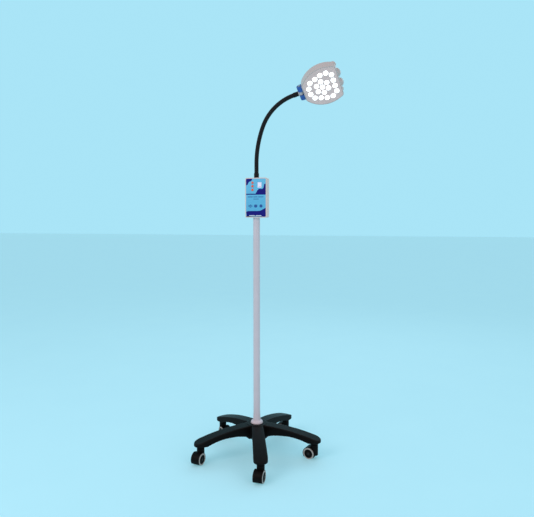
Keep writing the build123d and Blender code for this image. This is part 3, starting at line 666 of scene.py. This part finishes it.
def make_ferrule():
    """End ferrule that carries the hinge knuckle."""
    at, length = neck_line()
    point, tangent = at(length)
    place = basis(point, (0, 1, 0), tangent)
    r = 10.3 * MM
    profile = rounded(
        [(0, -2 * MM, 0), (8.6 * MM, -2 * MM, 0.6 * MM), (r, 1.2 * MM, 0.8 * MM), (r, 14 * MM, 0.3 * MM),
         (9.6 * MM, 14.6 * MM, 0.2 * MM), (9.6 * MM, 16 * MM, 0.2 * MM), (r, 16.6 * MM, 0.3 * MM),
         (r, 22 * MM, 1.0 * MM), (0, 22 * MM, 0)], 0)
    bm = bmesh.new()
    lathe(bm, profile, place, 64, closed=False)
    piece("gooseneck_end_ferrule", bm, "neck_end", "gooseneck_black")


# ------------------------------------------------------------------ head
def head_frame():
    """The head's own frame: origin on the hinge pin, X along the head, Z out of its back."""
    origin = pivot("head_tilt")
    across = direction("head_tilt")
    at, length = neck_line()
    along = at(length)[1]
    back = along.cross(across)
    return basis(origin, along, back)


def shell_cove():
    """A round bead inside the shell's rear corner, where its outer rounding leaves the wall thinnest."""
    place = head_frame()
    local = place.inverted()
    spots = [local @ v.co for v in frame["nodes"]["head_rear_shell"].data.vertices]
    face = min(p.z for p in spots)
    rim = sorted({(round(p.x, 4), round(p.y, 4)) for p in spots if p.z < face + 1 * MM})
    inset, rib_rise, bead = 5.4 * MM, 3.0 * MM, 2.8 * MM
    depth = max(p.z for p in spots) - rib_rise - inset
    hull = [rim[k] for k in convex_hull_2d(rim)]
    path = shrunk(hull, inset)
    bm = bmesh.new()
    count, sides = len(path), 10
    rings = []
    for k, (x, y) in enumerate(path):
        before, after = Vector(path[k - 1]), Vector(path[(k + 1) % count])
        outward = Vector((after.y - before.y, before.x - after.x)).normalized()
        ring = []
        for m in range(sides):
            turn = 2 * math.pi * m / sides
            across, rise = bead * math.cos(turn), bead * math.sin(turn)
            spot = Vector((x + outward.x * across, y + outward.y * across, depth + rise))
            ring.append(bm.verts.new(place @ spot))
        rings.append(ring)
    for k in range(count):
        a, b = rings[k], rings[(k + 1) % count]
        for m in range(sides):
            n = (m + 1) % sides
            bm.faces.new((a[m], a[n], b[n], b[m]))
    bmesh.ops.recalc_face_normals(bm, faces=bm.faces)
    return bm


def make_head():
    """Shell, yoke and hinge knuckle."""
    soften(["head_rear_shell"], "head_shell", "head", "head_plastic", 1.1 * MM, 4, 0.5, extra=shell_cove())
    soften(["head_yoke"], "yoke_clevis", "head", "yoke_blue", 0.6 * MM, 5, 0.4)
    soften(["hinge_knuckle"], "knuckle_barrel", "neck_end", "knuckle_grey", 0.5 * MM, 4, 0.4)


def lens_centres(place):
    """The lenses' centres in the head's frame, from the CAD node's solids."""
    mesh = frame["nodes"]["lenses"].data
    bm = bmesh.new()
    bm.from_mesh(mesh)
    bmesh.ops.remove_doubles(bm, verts=bm.verts, dist=0.01 * MM)
    seen, centres = set(), []
    for vert in bm.verts:
        if vert.index in seen:
            continue
        group, queue = [], [vert]
        seen.add(vert.index)
        while queue:
            here = queue.pop()
            group.append(place.inverted() @ here.co)
            for edge in here.link_edges:
                other = edge.other_vert(here)
                if other.index not in seen:
                    seen.add(other.index)
                    queue.append(other)
        xs, ys = [v.x for v in group], [v.y for v in group]
        centres.append(((min(xs) + max(xs)) / 2, (min(ys) + max(ys)) / 2))
    bm.free()
    return centres


def make_lenses():
    """Domed lenses and the thin bezel round each."""
    place = head_frame()
    face = -19 * MM
    lenses, bezels = bmesh.new(), bmesh.new()
    for x, y in lens_centres(place):
        spot = place @ Matrix.Translation((x, y, face)) @ Matrix.Rotation(math.pi, 4, "X")
        dome = [(0, -3 * MM), (10.4 * MM, -3 * MM), (10.4 * MM, 0.1 * MM), (10.1 * MM, 0.5 * MM)]
        for s in range(9):
            turn = math.pi / 2 * s / 8
            dome.append((9.7 * MM * math.cos(turn), (0.6 + 1.9 * math.sin(turn)) * MM))
        lathe(lenses, dome, spot, 40, closed=False)
        ring = rounded(
            [(10.5 * MM, -0.6 * MM, 0), (11.3 * MM, -0.6 * MM, 0), (11.3 * MM, 0.3 * MM, 0.25 * MM),
             (10.5 * MM, 0.45 * MM, 0.25 * MM)], 0, 3)
        lathe(bezels, ring, spot, 40)
    piece("lens_domes", lenses, "head", "lens_white", ["lenses"])
    piece("lens_bezels", bezels, "head", "head_plastic")


# ------------------------------------------------------------------ floor, light and camera
def make_stage():
    """Pale floor with a faint mottle."""
    mesh = bpy.data.meshes.new("floor")
    bm = bmesh.new()
    size = 30.0
    corners = [bm.verts.new((x * size, y * size, 0)) for x, y in ((-1, -1), (1, -1), (1, 1), (-1, 1))]
    bm.faces.new(corners)
    bm.to_mesh(mesh)
    bm.free()
    floor = bpy.data.objects.new("floor", mesh)
    bpy.context.scene.collection.objects.link(floor)
    pale = Nodes("floor_pale")
    mottle = pale.noise(300 * MM)
    pale.link(pale.ramp(mottle, (0.43, 0.65, 0.74), (0.44, 0.66, 0.75)), pale.shader.inputs["Base Color"])
    pale.set(Roughness=0.85, Emission_Color=(0.10, 0.24, 0.26), Emission_Strength=1.0)
    floor.data.materials.append(pale.material)


def area_light(name, place, target, size, power, colour=(1, 1, 1)):
    """Soft rectangular light aimed at a point."""
    data = bpy.data.lights.new(name, "AREA")
    data.shape = "RECTANGLE"
    data.size = size[0]
    data.size_y = size[1]
    data.energy = power
    data.color = colour
    lamp = bpy.data.objects.new(name, data)
    lamp.location = place
    lamp.rotation_euler = (Vector(target) - Vector(place)).to_track_quat("-Z", "Y").to_euler()
    bpy.context.scene.collection.objects.link(lamp)


def make_light():
    """Soft studio light: a pale surround, bluer behind the object, and three large soft lamps."""
    world = bpy.data.worlds.new("surround")
    world.use_nodes = True
    tree = world.node_tree
    background = tree.nodes["Background"]
    background.inputs["Strength"].default_value = 1.0
    place = tree.nodes.new("ShaderNodeTexCoord")
    split = tree.nodes.new("ShaderNodeSeparateXYZ")
    ramp = tree.nodes.new("ShaderNodeValToRGB")
    shift = tree.nodes.new("ShaderNodeMapRange")
    shift.inputs["From Min"].default_value = -1.0
    shift.inputs["From Max"].default_value = 1.0
    ramp.color_ramp.elements[0].position = 0.35
    ramp.color_ramp.elements[0].color = (0.66, 0.60, 0.62, 1)
    ramp.color_ramp.elements[1].position = 0.80
    ramp.color_ramp.elements[1].color = (0.40, 0.78, 0.93, 1)
    tree.links.new(place.outputs["Generated"], split.inputs["Vector"])
    tree.links.new(split.outputs["Y"], shift.inputs["Value"])
    tree.links.new(shift.outputs["Result"], ramp.inputs["Fac"])
    tree.links.new(ramp.outputs["Color"], background.inputs["Color"])
    bpy.context.scene.world = world
    bpy.context.scene.view_settings.view_transform = "Standard"
    area_light("key", (-2.0, -2.8, 2.6), (0, 0, 0.9), (1.8, 1.8), 34, (1.0, 0.97, 0.97))
    area_light("fill", (2.6, -2.0, 1.5), (0, 0, 0.9), (1.6, 2.0), 12, (1.0, 0.97, 0.96))
    area_light("back", (0.6, 2.6, 2.8), (0, 0, 1.0), (2.0, 1.2), 10)


def make_camera():
    """Camera right of the box's face, at column height, looking slightly down."""
    azimuth = math.radians(14.7)
    distance, height = 2.382, 1.060
    pitch = math.radians(4.288)
    pan = math.radians(1.10)
    focal, across = 541.4, 534
    data = bpy.data.cameras.new("camera")
    data.sensor_width = 36.0
    data.lens = focal / across * 36.0
    camera = bpy.data.objects.new("camera", data)
    camera.location = (math.sin(azimuth) * distance, -math.cos(azimuth) * distance, height)
    heading = azimuth - pan
    ahead = Vector((-math.sin(heading), math.cos(heading), 0)) * math.cos(pitch)
    look = ahead - Vector((0, 0, math.sin(pitch)))
    camera.rotation_euler = look.to_track_quat("-Z", "Y").to_euler()
    bpy.context.scene.collection.objects.link(camera)
    bpy.context.scene.camera = camera


make_camera()
make_stage()
make_light()
make_star()
make_hub_flange()
make_column()
for number in CASTERS:
    make_caster(number)
make_label()
make_lamps()
make_gooseneck()
make_collar()
make_ferrule()
make_head()
make_lenses()
